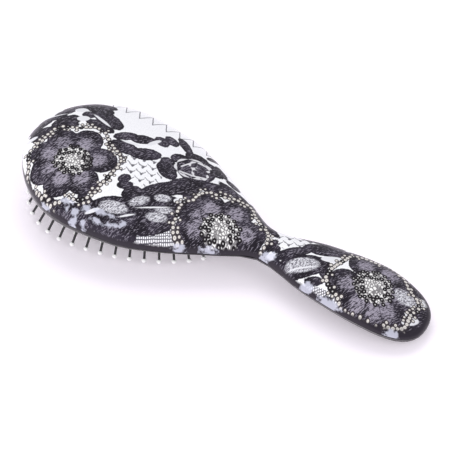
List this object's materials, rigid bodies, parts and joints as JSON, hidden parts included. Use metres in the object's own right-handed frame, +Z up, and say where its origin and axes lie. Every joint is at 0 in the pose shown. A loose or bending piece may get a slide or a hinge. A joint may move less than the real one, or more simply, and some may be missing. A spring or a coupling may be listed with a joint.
{
  "type": "cushion hairbrush",
  "caption": "Oval cushion hairbrush with a two-part glossy body, a domed rubber cushion and ball-tipped pins on sprung carrier strips.",
  "frame": {"origin": "on the floor under the middle of the brush's length and width, with the brush lying on its pins and the end of its handle", "axes": "+X runs from the toe of the head to the end of the handle, +Z is up through the back of the brush, +Y is across it"},
  "size_m": [0.2214, 0.0834, 0.0375],
  "materials": {
    "back": "clear gloss over a printed pattern",
    "front": "clear gloss",
    "plate": "plain moulded",
    "rubber": "soft matte",
    "pins": "satin nylon"
  },
  "bodies": {
    "body": {"back_shell": "back", "front_shell": "front", "backing_plate": "plate", "cushion_pad": "rubber"},
    "outer_pin_strip_1": {"outer_pin_strip_1": "pins"},
    "outer_pin_strip_2": {"outer_pin_strip_2": "pins"},
    "outer_pin_strip_3": {"outer_pin_strip_3": "pins"},
    "outer_pin_strip_4": {"outer_pin_strip_4": "pins"},
    "outer_pin_strip_5": {"outer_pin_strip_5": "pins"},
    "outer_pin_strip_6": {"outer_pin_strip_6": "pins"},
    "outer_pin_strip_7": {"outer_pin_strip_7": "pins"},
    "outer_pin_strip_8": {"outer_pin_strip_8": "pins"},
    "second_pin_strip_1": {"second_pin_strip_1": "pins"},
    "second_pin_strip_2": {"second_pin_strip_2": "pins"},
    "second_pin_strip_3": {"second_pin_strip_3": "pins"},
    "second_pin_strip_4": {"second_pin_strip_4": "pins"},
    "second_pin_strip_5": {"second_pin_strip_5": "pins"},
    "second_pin_strip_6": {"second_pin_strip_6": "pins"},
    "third_pin_strip_1": {"third_pin_strip_1": "pins"},
    "third_pin_strip_2": {"third_pin_strip_2": "pins"},
    "third_pin_strip_3": {"third_pin_strip_3": "pins"},
    "third_pin_strip_4": {"third_pin_strip_4": "pins"},
    "fourth_pin_strip_1": {"fourth_pin_strip_1": "pins"},
    "fourth_pin_strip_2": {"fourth_pin_strip_2": "pins"},
    "centre_pin_strip_1": {"centre_pin_strip_1": "pins"},
    "centre_pin_strip_2": {"centre_pin_strip_2": "pins"}
  },
  "joints": [
    {"name": "outer_pin_strip_1_press", "type": "slide", "parent": "body", "child": "outer_pin_strip_1", "axis": [-0.2132, -0.1569, 0.9643], "range_m": [0, 0.003], "stiffness_N_per_m": 900, "deforming": ["cushion_pad"]},
    {"name": "outer_pin_strip_2_press", "type": "slide", "parent": "body", "child": "outer_pin_strip_2", "axis": [0.0182, -0.3883, 0.9213], "range_m": [0, 0.003], "stiffness_N_per_m": 900, "deforming": ["cushion_pad"]},
    {"name": "outer_pin_strip_3_press", "type": "slide", "parent": "body", "child": "outer_pin_strip_3", "axis": [0.3933, -0.4104, 0.8227], "range_m": [0, 0.003], "stiffness_N_per_m": 900, "deforming": ["cushion_pad"]},
    {"name": "outer_pin_strip_4_press", "type": "slide", "parent": "body", "child": "outer_pin_strip_4", "axis": [0.6629, -0.1786, 0.7271], "range_m": [0, 0.003], "stiffness_N_per_m": 900, "deforming": ["cushion_pad"]},
    {"name": "outer_pin_strip_5_press", "type": "slide", "parent": "body", "child": "outer_pin_strip_5", "axis": [0.6793, 0.1458, 0.7192], "range_m": [0, 0.003], "stiffness_N_per_m": 900, "deforming": ["cushion_pad"]},
    {"name": "outer_pin_strip_6_press", "type": "slide", "parent": "body", "child": "outer_pin_strip_6", "axis": [0.4637, 0.3845, 0.7982], "range_m": [0, 0.003], "stiffness_N_per_m": 900, "deforming": ["cushion_pad"]},
    {"name": "outer_pin_strip_7_press", "type": "slide", "parent": "body", "child": "outer_pin_strip_7", "axis": [0.0841, 0.41, 0.9082], "range_m": [0, 0.003], "stiffness_N_per_m": 900, "deforming": ["cushion_pad"]},
    {"name": "outer_pin_strip_8_press", "type": "slide", "parent": "body", "child": "outer_pin_strip_8", "axis": [-0.1772, 0.223, 0.9586], "range_m": [0, 0.003], "stiffness_N_per_m": 900, "deforming": ["cushion_pad"]},
    {"name": "second_pin_strip_1_press", "type": "slide", "parent": "body", "child": "second_pin_strip_1", "axis": [-0.1308, -0.1707, 0.9766], "range_m": [0, 0.003], "stiffness_N_per_m": 900, "deforming": ["cushion_pad"]},
    {"name": "second_pin_strip_2_press", "type": "slide", "parent": "body", "child": "second_pin_strip_2", "axis": [0.1995, -0.3482, 0.9159], "range_m": [0, 0.003], "stiffness_N_per_m": 900, "deforming": ["cushion_pad"]},
    {"name": "second_pin_strip_3_press", "type": "slide", "parent": "body", "child": "second_pin_strip_3", "axis": [0.5601, -0.2388, 0.7933], "range_m": [0, 0.003], "stiffness_N_per_m": 900, "deforming": ["cushion_pad"]},
    {"name": "second_pin_strip_4_press", "type": "slide", "parent": "body", "child": "second_pin_strip_4", "axis": [0.6164, 0.1432, 0.7743], "range_m": [0, 0.003], "stiffness_N_per_m": 900, "deforming": ["cushion_pad"]},
    {"name": "second_pin_strip_5_press", "type": "slide", "parent": "body", "child": "second_pin_strip_5", "axis": [0.2414, 0.3475, 0.9061], "range_m": [0, 0.003], "stiffness_N_per_m": 900, "deforming": ["cushion_pad"]},
    {"name": "second_pin_strip_6_press", "type": "slide", "parent": "body", "child": "second_pin_strip_6", "axis": [-0.1129, 0.2043, 0.9724], "range_m": [0, 0.003], "stiffness_N_per_m": 900, "deforming": ["cushion_pad"]},
    {"name": "third_pin_strip_1_press", "type": "slide", "parent": "body", "child": "third_pin_strip_1", "axis": [-0.0327, -0.1633, 0.986], "range_m": [0, 0.003], "stiffness_N_per_m": 900, "deforming": ["cushion_pad"]},
    {"name": "third_pin_strip_2_press", "type": "slide", "parent": "body", "child": "third_pin_strip_2", "axis": [0.4647, -0.2006, 0.8624], "range_m": [0, 0.003], "stiffness_N_per_m": 900, "deforming": ["cushion_pad"]},
    {"name": "third_pin_strip_3_press", "type": "slide", "parent": "body", "child": "third_pin_strip_3", "axis": [0.4991, 0.1878, 0.846], "range_m": [0, 0.003], "stiffness_N_per_m": 900, "deforming": ["cushion_pad"]},
    {"name": "third_pin_strip_4_press", "type": "slide", "parent": "body", "child": "third_pin_strip_4", "axis": [0.0263, 0.2024, 0.9789], "range_m": [0, 0.003], "stiffness_N_per_m": 900, "deforming": ["cushion_pad"]},
    {"name": "fourth_pin_strip_1_press", "type": "slide", "parent": "body", "child": "fourth_pin_strip_1", "axis": [0.1953, -0.1296, 0.9721], "range_m": [0, 0.003], "stiffness_N_per_m": 900, "deforming": ["cushion_pad"]},
    {"name": "fourth_pin_strip_2_press", "type": "slide", "parent": "body", "child": "fourth_pin_strip_2", "axis": [0.2635, 0.1296, 0.9559], "range_m": [0, 0.003], "stiffness_N_per_m": 900, "deforming": ["cushion_pad"]},
    {"name": "centre_pin_strip_1_press", "type": "slide", "parent": "body", "child": "centre_pin_strip_1", "axis": [0.1767, -0.0612, 0.9824], "range_m": [0, 0.003], "stiffness_N_per_m": 900, "deforming": ["cushion_pad"]},
    {"name": "centre_pin_strip_2_press", "type": "slide", "parent": "body", "child": "centre_pin_strip_2", "axis": [0.2549, 0.0613, 0.965], "range_m": [0, 0.003], "stiffness_N_per_m": 900, "deforming": ["cushion_pad"]}
  ]
}
